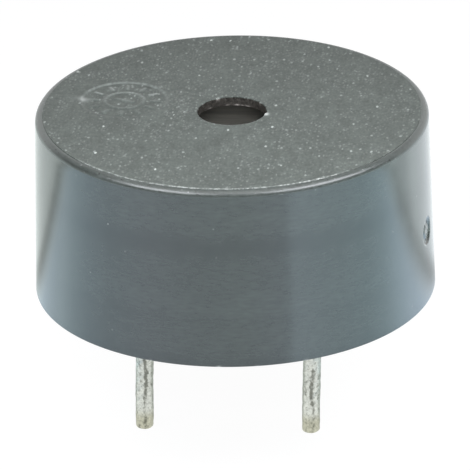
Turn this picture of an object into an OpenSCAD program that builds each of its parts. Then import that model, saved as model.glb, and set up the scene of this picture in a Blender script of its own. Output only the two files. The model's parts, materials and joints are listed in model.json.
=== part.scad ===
// Piezo buzzer of the pin type, driven from outside: a drafted round case with a small sound hole,
// a glued piezo diaphragm across it, a moulded base and two round tinned pins.
// The origin is midway between the pins, on the plane where the case stands on a circuit board.
// +Z runs up to the sound hole and the pins stand along X.

/* [Case] */
// Outer diameter at the open lower end
case_d = 17.5; // [16:0.1:24]
// Height from the board to the top of the textured panel
case_h = 8.15; // [7:0.05:12]
// How far the outer wall leans in by the top
wall_draft = 0.2; // [0:0.05:0.4]
// Wall thickness at the open end
wall_t = 0.8; // [0.6:0.05:1.2]
// Lid thickness away from the sound hole
lid_t = 0.8; // [0.6:0.05:1.2]
// Rounding of the outer top edge
edge_r = 0.26; // [0.05:0.01:0.28]
// Width of the smooth band round the panel, rounded edge included
rim_w = 0.3; // [0.3:0.05:0.8]
// How far the textured panel stands above the band
panel_h = 0.03; // [0.02:0.01:0.12]
// Bevel at the mouth of the open end
mouth_bevel = 0.15; // [0.05:0.05:0.3]
// Bevel in the corner between the lid and the wall of the front chamber
corner_bevel = 0.3; // [0.1:0.05:0.6]

/* [Sound hole] */
// Diameter of the sound hole
port_d = 3; // [2:0.1:4.5]
// Thickness of the lid where the hole goes through
web_t = 0.4; // [0.3:0.05:0.55]
// Width of the thinned ring round the hole
relief_w = 1.1; // [0.5:0.1:2]
// Depth of the air chamber between the lid and the diaphragm's ledge
front_gap = 1.4; // [0.8:0.1:2]

/* [Moulding gate] */
// Diameter of the shallow dimple in the side wall
gate_d = 1.25; // [0.8:0.05:1.6]
// Depth of the dimple
gate_depth = 0.1; // [0.06:0.02:0.24]
// Diameter of the broken gate inside the dimple
stub_d = 0.6; // [0.3:0.05:0.75]
// How far the broken gate stays under the surface
stub_under = 0.04; // [0.02:0.01:0.05]
// Height of the gate above the board
gate_z = 3.25; // [2:0.05:5]
// Turn of the gate from the pin line
gate_turn = -9; // [-45:1:45]

/* [Diaphragm] */
// Clearance between the brass plate and the case
plate_gap = 0.15; // [0.05:0.05:0.3]
// Thickness of the brass plate
plate_t = 0.1; // [0.08:0.01:0.2]
// Width of the ledge that carries the plate
ledge_w = 0.6; // [0.5:0.05:0.9]
// Thickness of the silicone that holds the plate
glue_t = 0.1; // [0.05:0.05:0.2]
// How far the silicone stays back from each edge of the ledge
glue_inset = 0.05; // [0.02:0.01:0.1]
// Width of the bare brass round the ceramic
brass_margin = 1.9; // [1.7:0.1:2.6]
// Thickness of the ceramic
ceramic_t = 0.15; // [0.1:0.01:0.25]
// Width of the bare ceramic round the silver
silver_margin = 0.3; // [0.1:0.05:0.6]
// Thickness of the fired silver
silver_t = 0.02; // [0.01:0.01:0.04]

/* [Base] */
// Thickness of the base plate
base_t = 1; // [0.8:0.1:1.4]
// How far the base plate lies inside the open end
base_recess = 0.5; // [0.4:0.05:0.8]
// Clearance between the base plate and the case
base_gap = 0.1; // [0.05:0.01:0.15]
// Width of the step that the base plate seats on
seat_w = 0.3; // [0.2:0.05:0.5]
// Diameter of the boss round each pin
boss_d = 2.4; // [2:0.1:3]
// Height of the boss above the base plate
boss_h = 0.8; // [0.5:0.1:1.2]
// Width of the rib that joins the bosses
rib_w = 0.8; // [0.5:0.1:1.4]
// Height of that rib
rib_h = 0.5; // [0.3:0.05:0.5]
// Width of the epoxy fillet round the base plate
seal_w = 0.6; // [0.4:0.05:0.8]
// Depth of the epoxy fillet along the wall
seal_h = 0.3; // [0.2:0.05:0.35]
// Hollow of the epoxy fillet's face, like a liquid's edge
seal_hollow = 0.06; // [0.02:0.01:0.08]
// Gap between the cured epoxy and a round wall beside it
film_gap = 0.02; // [0.01:0.01:0.04]
// Diameter of the epoxy drop round each pin
drop_d = 2; // [1.6:0.1:2.6]
// Depth of the epoxy drop
drop_h = 0.25; // [0.15:0.05:0.35]

/* [Pins] */
// Distance between the pins
pin_pitch = 7.5; // [6.5:0.1:8.5]
// Diameter of the pin wire
pin_d = 0.8; // [0.6:0.05:0.85]
// Diameter of the swaged shank where the pin sits in the base plate
shank_d = 0.9; // [0.9:0.05:1.1]
// Length of the pins below the case
pin_l = 7.2; // [3:0.1:12]
// Bevel at the pin's tip
pin_bevel = 0.12; // [0.05:0.01:0.2]
// Clearance of the pin in the base plate
pin_gap = 0.05; // [0.02:0.01:0.1]
// Diameter of the upset collar that stops the pin
collar_d = 1.6; // [1.3:0.1:1.9]
// Thickness of the collar
collar_t = 0.3; // [0.2:0.05:0.5]
// Height of the pin above its collar
head_h = 0.4; // [0.2:0.1:0.6]

/* [Leads] */
// Diameter of the lead wires
lead_d = 0.25; // [0.15:0.05:0.3]
// Bend radius of the lead wires
lead_bend = 0.5; // [0.3:0.05:0.7]
// Distance from the axis to the joint on the silver
feed_x = 1.5; // [0.8:0.1:2.2]
// Diameter of a solder joint on the diaphragm
solder_d = 0.9; // [0.7:0.05:1]
// Diameter of a solder joint's flat tip, where the wire enters
tip_d = 0.4; // [0.35:0.01:0.5]
// Height of a solder joint
solder_h = 0.3; // [0.25:0.05:0.4]

/* [Hidden] */
$fn = 64;
small_fn = 32;
case_r = case_d / 2;
top_r = case_r - wall_draft;
port_r = port_d / 2;
pin_x = pin_pitch / 2;
pin_r = pin_d / 2;
shank_r = shank_d / 2;

// Heights, from the lid down to the silver
rim_z = case_h - panel_h;
chamber_z = case_h - lid_t;
ledge_z = chamber_z - front_gap;
plate_top = ledge_z - glue_t;
plate_z = plate_top - plate_t;
ceramic_z = plate_z - ceramic_t;
silver_z = ceramic_z - silver_t;

// Heights, from the board up to the pin heads
shank_z = (base_recess - drop_h) / 2;
seat_z = base_recess + base_t;
collar_z = seat_z + boss_h;
head_z = collar_z + collar_t + head_h;

// Radii, from the wall inwards
mouth_r = case_r - wall_t;
bore_r = mouth_r - seat_w;
plate_r = bore_r - plate_gap;
chamber_r = plate_r - ledge_w;
ceramic_r = plate_r - brass_margin;
silver_r = ceramic_r - silver_margin;
base_r = mouth_r - base_gap;
panel_r = top_r - rim_w;

// The rounded edge touches the drafted wall and the flat band
draft = atan(wall_draft / case_h);
edge_z = rim_z - edge_r;
edge_x = case_r - edge_z * tan(draft) - edge_r / cos(draft);

// The brass joint lies midway across the bare brass
earth_x = (ceramic_r + chamber_r) / 2;

// Half section of the moulded cup's outside
module case_outline() {
    polygon([
        [0, 0],
        [case_r, 0],
        [edge_x + edge_r * cos(draft), edge_z + edge_r * sin(draft)],
        [edge_x, rim_z],
        [panel_r, rim_z],
        [panel_r, case_h],
        [0, case_h]
    ]);
    translate([edge_x, edge_z]) circle(r = edge_r);
}

// Half section of the room inside: mouth, bore, front chamber, thinned ring and sound hole
module case_room() {
    relief_r = port_r + relief_w;
    polygon([
        [0, 0],
        [mouth_r + mouth_bevel, 0],
        [mouth_r, mouth_bevel],
        [mouth_r, seat_z],
        [bore_r, seat_z],
        [bore_r, ledge_z],
        [chamber_r, ledge_z],
        [chamber_r, chamber_z - corner_bevel],
        [chamber_r - corner_bevel, chamber_z],
        [relief_r, chamber_z],
        [relief_r, case_h - web_t],
        [port_r, case_h - web_t],
        [port_r, case_h],
        [0, case_h]
    ]);
}

// Half section of a ring from one radius to another, between two heights
module ring_section(inner, outer, low, high) {
    translate([inner, low]) square([outer - inner, high - low]);
}

// Shallow dimple with the torn end of the moulding gate in it
module gate_dimple() {
    wall_x = case_r - gate_z * tan(draft);
    rotate([0, 0, gate_turn]) translate([wall_x, 0, gate_z]) rotate([0, 90 - draft, 0]) difference() {
        translate([0, 0, -gate_depth]) cylinder(d = gate_d, h = gate_depth + wall_t);
        translate([0, 0, -wall_t]) cylinder(d = stub_d, h = wall_t - stub_under, $fn = small_fn);
    }
}

module case() {
    color([0.42, 0.44, 0.43]) difference() {
        rotate_extrude() difference() {
            case_outline();
            case_room();
        }
        gate_dimple();
    }
}

// Disc that closes the case, with a boss for each pin and a rib between them
module base_plate() {
    hole_r = shank_r + pin_gap;
    color([0.2, 0.21, 0.21]) difference() {
        union() {
            translate([0, 0, base_recess]) cylinder(r = base_r, h = base_t);
            for (x = [-pin_x, pin_x])
                translate([x, 0, seat_z]) cylinder(d = boss_d, h = boss_h);
            translate([-pin_x, -rib_w / 2, seat_z]) cube([pin_pitch, rib_w, rib_h]);
        }
        for (x = [-pin_x, pin_x])
            translate([x, 0, 0]) cylinder(r = hole_r, h = collar_z + 1, $fn = small_fn);
    }
}

// Epoxy fillet in the corner under the base plate, cut back by a large circle through its thin edges
module rim_seal() {
    outer = mouth_r - film_gap;
    inner = outer - seal_w;
    chord = norm([seal_w, seal_h]);
    hollow_r = (pow(chord / 2, 2) + pow(seal_hollow, 2)) / (2 * seal_hollow);
    away = hollow_r - seal_hollow;
    color([0.12, 0.12, 0.11]) rotate_extrude() difference() {
        polygon([[inner, base_recess], [outer, base_recess - seal_h], [outer, base_recess]]);
        translate([
            (inner + outer) / 2 - away * seal_h / chord,
            base_recess - seal_h / 2 - away * seal_w / chord
        ]) circle(r = hollow_r);
    }
}

// Straight wire with a bevelled tip, a swaged shank in the base plate and an upset collar above it
module pin() {
    color([0.82, 0.83, 0.8]) rotate_extrude($fn = small_fn) polygon([
        [0, -pin_l],
        [pin_r - pin_bevel, -pin_l],
        [pin_r, -pin_l + pin_bevel],
        [pin_r, shank_z - (shank_r - pin_r)],
        [shank_r, shank_z],
        [shank_r, collar_z],
        [collar_d / 2, collar_z],
        [collar_d / 2, collar_z + collar_t],
        [pin_r, collar_z + collar_t],
        [pin_r, head_z],
        [0, head_z]
    ]);
}

module left_pin() { translate([-pin_x, 0, 0]) pin(); }

module right_pin() { translate([pin_x, 0, 0]) pin(); }

// Epoxy drop where a pin leaves the base plate
module pin_seal() {
    inner = shank_r + film_gap;
    outer = drop_d / 2;
    color([0.12, 0.12, 0.11]) rotate_extrude($fn = small_fn) polygon([
        [inner, base_recess - drop_h],
        [inner, base_recess],
        [outer, base_recess]
    ]);
}

module left_pin_seal() { translate([-pin_x, 0, 0]) pin_seal(); }

module right_pin_seal() { translate([pin_x, 0, 0]) pin_seal(); }

module diaphragm_glue() {
    color([0.85, 0.84, 0.8]) rotate_extrude()
        ring_section(chamber_r + glue_inset, plate_r - glue_inset, plate_top, ledge_z);
}

module brass_plate() {
    color([0.72, 0.58, 0.3]) translate([0, 0, plate_z]) cylinder(r = plate_r, h = plate_t);
}

module ceramic_disc() {
    color([0.86, 0.83, 0.72]) translate([0, 0, ceramic_z]) cylinder(r = ceramic_r, h = ceramic_t);
}

module silver_electrode() {
    color([0.78, 0.78, 0.77]) translate([0, 0, silver_z]) cylinder(r = silver_r, h = silver_t);
}

// Domed solder joint that stands on z = 0 and ends in a flat tip
module solder(foot_r) {
    tip_r = tip_d / 2;
    // Depth of the sphere's centre under the foot, from the foot and tip radii
    sunk = (pow(foot_r, 2) - pow(tip_r, 2) - pow(solder_h, 2)) / (2 * solder_h);
    ball_r = norm([foot_r, sunk]);
    color([0.7, 0.71, 0.72]) rotate_extrude($fn = small_fn) intersection() {
        translate([0, -sunk]) circle(r = ball_r, $fn = 64);
        ring_section(0, foot_r, 0, solder_h);
    }
}

module brass_joint() { translate([-earth_x, 0, plate_z]) mirror([0, 0, 1]) solder(solder_d / 2); }

module silver_joint() { translate([feed_x, 0, silver_z]) mirror([0, 0, 1]) solder(solder_d / 2); }

module left_pin_joint() { translate([-pin_x, 0, head_z]) solder(pin_r); }

module right_pin_joint() { translate([pin_x, 0, head_z]) solder(pin_r); }

// Quarter of a ring of wire, centred at the local origin, from one angle on
module bend(r, from) {
    rotate_extrude(angle = 90, start = from) translate([r, 0]) circle(d = lead_d, $fn = small_fn);
}

// Straight piece of wire up from the local origin
module rise(length) {
    if (length > 0)
        rotate([-90, 0, 0]) cylinder(d = lead_d, h = length, $fn = small_fn);
}

// Wire up from a pin, across at half height and up to the diaphragm, drawn in the X and Z plane
module lead(low, high) {
    across = abs(high.x - low.x);
    up = high.y - low.y;
    r = min(lead_bend, across / 2, up / 2);
    color([0.8, 0.55, 0.4]) rotate([90, 0, 0]) translate([low.x, low.y, 0])
        mirror([high.x < low.x ? 1 : 0, 0, 0]) {
            rise(up / 2 - r);
            translate([r, up / 2 - r, 0]) bend(r, 90);
            translate([r, up / 2, 0]) rotate([0, 0, -90]) rise(across - 2 * r);
            translate([across - r, up / 2 + r, 0]) bend(r, 270);
            translate([across, up / 2 + r, 0]) rise(up / 2 - r);
        }
}

module brass_lead() { lead([-pin_x, head_z + solder_h], [-earth_x, plate_z - solder_h]); }

module silver_lead() { lead([pin_x, head_z + solder_h], [feed_x, silver_z - solder_h]); }

case();
base_plate();
rim_seal();
left_pin();
right_pin();
left_pin_seal();
right_pin_seal();
diaphragm_glue();
brass_plate();
ceramic_disc();
silver_electrode();
brass_joint();
silver_joint();
left_pin_joint();
right_pin_joint();
brass_lead();
silver_lead();
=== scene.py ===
"""Round pin-type piezo buzzer: surfaces, finishes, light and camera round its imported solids."""

import json
import math

import bpy
import numpy as np
from mathutils import Matrix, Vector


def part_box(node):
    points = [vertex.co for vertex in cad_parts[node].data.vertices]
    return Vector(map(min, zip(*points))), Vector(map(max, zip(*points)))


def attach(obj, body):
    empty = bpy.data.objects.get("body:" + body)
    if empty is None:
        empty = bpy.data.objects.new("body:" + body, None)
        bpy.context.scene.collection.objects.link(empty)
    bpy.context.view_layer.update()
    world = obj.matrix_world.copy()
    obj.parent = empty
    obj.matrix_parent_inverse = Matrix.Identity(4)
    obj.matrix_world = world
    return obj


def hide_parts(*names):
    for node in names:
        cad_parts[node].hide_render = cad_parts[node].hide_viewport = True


bl_info = {
    "name": "Piezo buzzer",
    "version": (1, 0, 0),
    "blender": (4, 5, 0),
    "location": "3D View > Sidebar > Buzzer",
    "description": "Models the visible pieces of a pin-type piezo buzzer and sets up its studio",
    "category": "Object",
}

MM = 0.001

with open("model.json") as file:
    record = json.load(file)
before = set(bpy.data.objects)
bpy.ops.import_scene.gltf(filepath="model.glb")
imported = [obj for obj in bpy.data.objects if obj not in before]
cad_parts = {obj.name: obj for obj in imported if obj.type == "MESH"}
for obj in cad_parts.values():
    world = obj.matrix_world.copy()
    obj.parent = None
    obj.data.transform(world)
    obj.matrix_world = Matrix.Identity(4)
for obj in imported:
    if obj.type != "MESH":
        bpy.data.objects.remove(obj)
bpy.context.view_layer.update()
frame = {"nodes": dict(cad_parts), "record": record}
mounts = {mount["name"]: mount for mount in frame["record"]["mounts"]}
case_low, case_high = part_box("case")
pin_low, pin_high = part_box("right_pin")
base_low, base_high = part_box("base_plate")
seal_low, seal_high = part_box("rim_seal")
drop_low, drop_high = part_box("right_pin_seal")
_, glue_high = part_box("diaphragm_glue")
_, plate_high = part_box("brass_plate")

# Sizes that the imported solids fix, in metres
CASE_R = min(-case_low.x, case_high.x, -case_low.y, case_high.y)
CASE_H = case_high.z
PORT_R = mounts["sound_port"]["dims"]["r_mm"] * MM
WEB_T = mounts["sound_port"]["dims"]["length_mm"] * MM
PIN_X = mounts["pins"]["dims"]["spacing_x_mm"] * MM / 2
PIN_R = mounts["pins"]["dims"]["stud_r_mm"] * MM
PIN_TIP_Z = pin_low.z
FLOOR_Z = PIN_TIP_Z
HEAD_Z = pin_high.z
COLLAR_R = (pin_high.x - pin_low.x) / 2
BASE_Z = base_low.z
BOSS_Z = base_high.z

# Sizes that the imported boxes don't show: the base plate's disc, the ledge under the brass plate
# and the inner edge of the epoxy round the base plate
SEAT_T = 1.0 * MM
LEDGE_W = 0.6 * MM
SEAL_INNER_R = 7.33 * MM

# Columns round the axis of each piece. The case's grid stays under 200,000 triangles
CASE_COLUMNS = 520
RIM_COLUMNS = 300
PIN_COLUMNS = 96

# Finishes of the case's rows, in the order of its material slots
WALL, PANEL, INSIDE, EDGE = range(4)

# Red, green and blue of the daylight lamps, a little cool
LAMP_TINT = (0.97, 1.0, 1.05)

# Settings of a Mix node: a colour times a tone, and one colour laid over another
TINT = {"data_type": "RGBA", "blend_type": "MULTIPLY"}
COVER = {"data_type": "RGBA"}


def linear(code):
    """sRGB hex code such as #40464a, turned to linear red, green, blue and alpha."""
    shares = np.array([int(code[i:i + 2], 16) for i in (1, 3, 5)]) / 255
    curve = np.where(shares <= 0.04045, shares / 12.92, ((shares + 0.055) / 1.055) ** 2.4)
    return (*curve.tolist(), 1.0)


def size(name, default_mm, description):
    """A length property that takes its default in millimetres."""
    return bpy.props.FloatProperty(
        name=name, description=description, default=default_mm * MM, unit="LENGTH", precision=5
    )


def turn(name, default_degrees, description):
    """An angle property that takes its default in degrees."""
    return bpy.props.FloatProperty(
        name=name, description=description, default=math.radians(default_degrees), subtype="ANGLE"
    )


def level(name, default, description):
    """A plain number property, such as a radiance, that can't be negative."""
    return bpy.props.FloatProperty(name=name, description=description, default=default, min=0)


def shade(name, code, description):
    """A colour property that takes its default as an sRGB hex code."""
    return bpy.props.FloatVectorProperty(
        name=name, description=description, default=linear(code)[:3], subtype="COLOR", size=3
    )


class CaseSettings(bpy.types.PropertyGroup):
    wall_draft: size("Wall draft", 0.2, "How far the outer wall leans in by the top")
    wall_t: size("Wall", 0.8, "Wall thickness at the open end")
    lid_t: size("Lid", 0.8, "Lid thickness away from the sound hole")
    edge_r: size("Edge radius", 0.26, "Rounding of the outer top edge")
    rim_w: size("Band width", 0.3, "Width of the smooth band round the textured panel, rounded edge included")
    panel_h: size("Panel step", 0.03, "How far the textured panel stands above the band")
    step_r: size("Step radius", 0.025, "Rounding of the panel's outer edge")
    port_edge_r: size("Hole edge radius", 0.03, "Rounding of the sound hole's upper edge")
    foot_r: size("Foot radius", 0.02, "Rounding of the lower outer edge")
    mouth_bevel: size("Mouth bevel", 0.15, "Bevel inside the open end")
    corner_bevel: size("Corner bevel", 0.3, "Bevel between the lid and the front chamber")
    relief_w: size("Thinned ring", 1.1, "Width of the thinned ring round the sound hole")
    plate_gap: size("Plate clearance", 0.15, "Clearance between the brass plate and the case")
    # The pale line along the panel's edge is rubbed wear and a painted highlight
    pale_line_w: size("Burnished line", 0.11, "Width of the rubbed, pale line along the panel's outer edge")
    jag: size("Torn edge", 0.045, "How far the flash at the hole's far edge sticks into the hole")
    burr_turn: turn("Burr turn", -10.4, "Place of the large burr round the sound hole")
    burr_w: size("Burr width", 0.13, "Half width of the large burr")
    bite: size("Bite", 0.06, "Depth of the bite out of the hole's edge beside the burr")
    mark_x: size("Mark X", -4.81, "Centre of the mould insert's mark on the panel, across")
    mark_y: size("Mark Y", 0.99, "Centre of the mould insert's mark on the panel, back")
    mark_r: size("Mark radius", 1.92, "Radius of the mould insert's mark")
    mark_depth: size("Mark depth", 0.06, "Depth of the mould insert's mark")
    gate_turn: turn("Gate turn", -9, "Place of the moulding gate round the case")
    gate_z: size("Gate height", 3.25, "Height of the moulding gate above the board")
    gate_r: size("Gate radius", 0.625, "Radius of the gate's dimple")
    gate_depth: size("Gate depth", 0.1, "Depth of the gate's dimple")
    stub_r: size("Stub radius", 0.3, "Radius of the torn gate inside the dimple")
    stub_under: size("Stub depth", 0.04, "How far the torn gate stays under the wall's surface")
    plastic: shade("Plastic", "#474e4a", "Colour of the moulded plastic where it is smooth")
    rough_plastic: shade("Rough plastic", "#575d58", "Colour of the moulded plastic where it is rough")
    # The fleck colour also paints the highlight along the panel's front edge and the highlight on the mark
    fleck: shade("Flecks", "#d9ddd8", "Colour of the pale flecks and rubbed edges")
    # The plastic inside is painted darker and browner than the outside, as shade
    shaded_hole_plastic: shade("Plastic in the hole", "#393632", "Colour of the plastic that the hole shows")
    # The flash colour also paints glints on the lower edge of the hole's wall
    hole_flash_and_glint: shade("Flash in the hole", "#c9c2bb", "Colour of the thin flash on the hole's edges")


class PinSettings(bpy.types.PropertyGroup):
    bevel: size("Tip bevel", 0.12, "Rounding at the pin's tip")
    shank_r: size("Shank radius", 0.45, "Radius of the swaged shank in the base plate")
    shank_z: size("Shank height", 0.125, "Height where the swaged shank begins")
    collar_t: size("Collar", 0.3, "Thickness of the collar above the base plate")
    left_lean: size("Left lean", 0.437, "How far the left pin's tip has been bent to the left")
    right_lean: size("Right lean", 0.552, "How far the right pin's tip has been bent to the left")
    # The main streak, down the front, is a dull streak and a painted dark reflection
    left_reflection_streak: turn("Left streak", -77, "Place of the main dull streak round the left pin")
    right_reflection_streak: turn("Right streak", -80, "Place of the main dull streak round the right pin")
    left_dull_z: size("Left dull height", -4.75, "Height where the left pin's streaks are darkest")
    right_dull_z: size("Right dull height", -5.35, "Height where the right pin's streaks are darkest")
    lump: size("Tin lumps", 0.012, "Height of the uneven places in the tin")
    tin: shade("Tin", "#f1f3ed", "Colour of the tin")
    # The streak colour also paints a dark reflection down each pin's front
    streak_and_reflection: shade("Streak", "#5d5e54", "Colour of the dull streaks in the tin")
    tip: shade("Tip", "#d2d1bf", "Colour of the tin near the cut tip")


class SealSettings(bpy.types.PropertyGroup):
    wave: size("Edge wave", 0.05, "How far the epoxy's edge wanders")
    hollow: size("Hollow", 0.06, "Hollow of the epoxy's face, like a liquid's edge")
    film_gap: size("Film", 0.02, "Gap between the epoxy and a pin's shank")


class StudioSettings(bpy.types.PropertyGroup):
    azimuth: turn("Azimuth", 6.168, "Turn of the camera round the part")
    elevation: turn("Elevation", 24.69, "Height of the camera over the horizon")
    roll: turn("Roll", 1.280, "Turn of the camera round its line of sight")
    distance: size("Distance", 350, "Distance from the camera to the part")
    lens: level("Lens", 614.47, "Focal length in millimetres on a 36 mm sensor")
    target_z: size("Target height", 4.1, "Height of the point that the camera looks at")
    side_shift: size("Side shift", 0.0545, "How far the camera stands to the side of that point")
    up_shift: size("Up shift", -1.716, "How far the camera stands above that point")
    strips: level("Strips", 4.1, "Radiance of the strip softboxes above left and right")
    front: level("Front", 2.4, "Radiance of the softbox close above the front")
    fill: level("Fill", 15.0, "Radiance of the small fill lamp towards the camera")
    surround: level("Surround", 0.35, "Radiance of the studio behind the part")
    mirrored: level("Mirrored paper", 1.48, "Radiance of the paper's brightest part in reflections")
    pool_y: size("Pool centre", -82.5, "Centre of the arc where the paper's sweep begins")
    pool_r: size("Pool radius", 100, "Radius of that arc")
    sight_y: size("Sight point", -4.4, "Point before the axis that the paper's directions start from")


def mesh_object(name, points, closed_rows, materials, row_material=None, body="root"):
    """Puts a grid of points, rows along a profile and columns round an axis, into a mesh.

    Each grid cell is one quad between neighbours in row and column. Columns always close on the
    first one. Rows close on the first row, or each end row closes on its own centre as a pole.
    """
    rows, columns = points.shape[:2]
    index = np.arange(rows * columns).reshape(rows, columns)
    below = np.roll(index, -1, axis=0) if closed_rows else index[1:]
    here = index if closed_rows else index[:-1]
    quads = np.stack([here, below, np.roll(below, -1, 1), np.roll(here, -1, 1)], axis=-1)
    vertices = points.reshape(-1, 3)
    faces = quads.reshape(-1, 4).tolist()
    if not closed_rows:
        ends = points[[0, -1]].mean(axis=1)
        vertices = np.vstack([vertices, ends])
        first, last = index[0], index[-1]
        start = np.full(columns, rows * columns)
        faces += np.stack([start, first, np.roll(first, -1)], axis=-1).tolist()
        faces += np.stack([start + 1, np.roll(last, -1), last], axis=-1).tolist()
    mesh = bpy.data.meshes.new(name)
    mesh.from_pydata(vertices.tolist(), [], faces)
    mesh.shade_smooth()
    mesh.set_sharp_from_angle(angle=math.radians(30))
    for material in materials:
        mesh.materials.append(material)
    if row_material is not None:
        slots = np.repeat(row_material[:len(here)], columns).astype(np.int32)
        mesh.polygons.foreach_set("material_index", slots)
    mesh.validate()
    piece = bpy.data.objects.new(name, mesh)
    bpy.context.scene.collection.objects.link(piece)
    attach(piece, body)
    return piece


def point_values(piece, name, values):
    """Stores one number for each point of a piece, for its materials. A pole gets its row's mean."""
    poles = values[[0, -1]].mean(axis=1)[:len(piece.data.vertices) - values.size]
    attribute = piece.data.attributes.new(name, "FLOAT", "POINT")
    attribute.data.foreach_set("value", np.concatenate([values.ravel(), poles]).astype(np.float32))


def round_grid(radius, height, angles):
    """Grids of radius, height and angle, with a row for each profile point and a column for each angle."""
    grids = np.broadcast_arrays(radius[:, None], height[:, None], angles[None, :])
    return [grid.copy() for grid in grids]


def round_points(r, z, a, centre=0):
    """Points round an upright axis that stands at centre across: centre + r cos a, r sin a, z."""
    return np.stack([centre + r * np.cos(a), r * np.sin(a), z], axis=-1)


def stretch(start, end, count):
    """Evenly spaced points on the line from start up to, but not including, end."""
    share = np.linspace(0, 1, count, endpoint=False)[:, None]
    return np.array(start) * (1 - share) + np.array(end) * share


def arc(centre, radius, start, end, count):
    """Points on a circle from one angle in degrees up to, but not including, another."""
    angle = np.radians(np.linspace(start, end, count, endpoint=False))
    return np.stack([centre[0] + radius * np.cos(angle), centre[1] + radius * np.sin(angle)], axis=-1)


def ripple(angle, counts, seed):
    """Mean of cosines of whole counts of waves, with seeded phases, times 1.6: mostly within -1 to 1."""
    random = np.random.default_rng(seed)
    phases = random.uniform(0, 2 * np.pi, len(counts))
    waves = np.cos(np.multiply.outer(angle, np.array(counts)) + phases)
    return waves.mean(axis=-1) * 1.6


def smooth(low, high, value):
    """Rises from 0 at low to 1 at high along the curve 3 t squared less 2 t cubed."""
    share = np.clip((value - low) / (high - low), 0, 1)
    return share * share * (3 - 2 * share)


def near(offset, width):
    """Bell curve of a distance: 1 at no distance, falling by e at one width."""
    return np.exp(-(offset / width) ** 2)


def turn_from(angle, centre):
    """Signed angle from a centre, between minus pi and pi."""
    return (angle - centre + np.pi) % (2 * np.pi) - np.pi


def near_turn(angle, place, spread):
    """Bell curve round the axis, of a place and a width in degrees."""
    return near(turn_from(angle, math.radians(place)), math.radians(spread))


def add(tree, kind, inputs=None, stops=(), **settings):
    """Adds a node with its settings, and sets or links its inputs by name or number.

    An input takes a value, an output, or a node, which stands for its first output in use. The
    stops of a colour ramp are each a place with its tone, or with its linear red, green and blue.
    """
    node = tree.nodes.new(kind)
    for key, value in settings.items():
        setattr(node, key, value)
    for key, value in (inputs or {}).items():
        if isinstance(value, bpy.types.Node):
            value = next(output for output in value.outputs if output.enabled)
        if isinstance(value, bpy.types.NodeSocket):
            tree.links.new(value, node.inputs[key])
        else:
            node.inputs[key].default_value = value
    for count, (place, *tone) in enumerate(stops):
        band = node.color_ramp.elements
        stop = band[count] if count < 2 else band.new(place)
        stop.position = place
        stop.color = (*(tone if len(tone) == 3 else tone * 3), 1.0)
    return node


def new_material(name):
    """An empty node material, its tree and the object's coordinates, which every pattern follows."""
    material = bpy.data.materials.new(name)
    material.use_nodes = True
    tree = material.node_tree
    tree.nodes.clear()
    return material, tree, add(tree, "ShaderNodeTexCoord").outputs["Object"]


def colour(value):
    """Three numbers of a colour property with full alpha."""
    return (*value, 1.0)


def uneven(tree, place, layers):
    """Product of soft noise layers: each has its grain in mm, and its low and high tones."""
    tone = 1.0
    for grain_mm, low, high in layers:
        grain = add(tree, "ShaderNodeTexNoise", {
            "Vector": place, "Scale": 1 / (grain_mm * MM), "Detail": 2.0})
        layer = add(tree, "ShaderNodeMapRange", {0: grain, 1: 0.3, 2: 0.7, 3: low, 4: high})
        tone = add(tree, "ShaderNodeMath", {0: tone, 1: layer}, operation="MULTIPLY")
    return tone


def flecks(tree, place, bits, crowd=1.0, dimensions="2D"):
    """Round pale flecks, at most one to a cell, of uneven strength.

    The bits are a cell's width in mm, the fleck's radius as a share of it, the share of cells that
    hold a fleck, which crowd multiplies from place to place, and the greatest strength.
    """
    cell_mm, radius, kept, strength = bits
    spots = add(tree, "ShaderNodeTexVoronoi", {
        "Vector": place, "Scale": 1 / (cell_mm * MM)}, voronoi_dimensions=dimensions)
    disc = add(tree, "ShaderNodeMapRange", {
        0: spots.outputs["Distance"], 1: radius * 0.6, 2: radius * 1.3, 3: strength, 4: 0.0},
        interpolation_type="SMOOTHSTEP")
    pick = add(tree, "ShaderNodeSeparateColor", {0: spots.outputs["Color"]})
    share = add(tree, "ShaderNodeMath", {0: crowd, 1: kept}, operation="MULTIPLY")
    chosen = add(tree, "ShaderNodeMath", {0: pick.outputs[0], 1: share}, operation="LESS_THAN")
    varied = add(tree, "ShaderNodeMapRange", {0: pick.outputs[1], 3: 0.35, 4: 1.0})
    shown = add(tree, "ShaderNodeMath", {0: varied, 1: chosen}, operation="MULTIPLY")
    return add(tree, "ShaderNodeMath", {0: disc, 1: shown}, operation="MULTIPLY")


def highest(tree, values):
    """Largest of several numbers, kept between 0 and 1."""
    top = values[0]
    for value in values[1:]:
        top = add(tree, "ShaderNodeMath", {0: top, 1: value}, operation="MAXIMUM", use_clamp=True)
    return top


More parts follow.
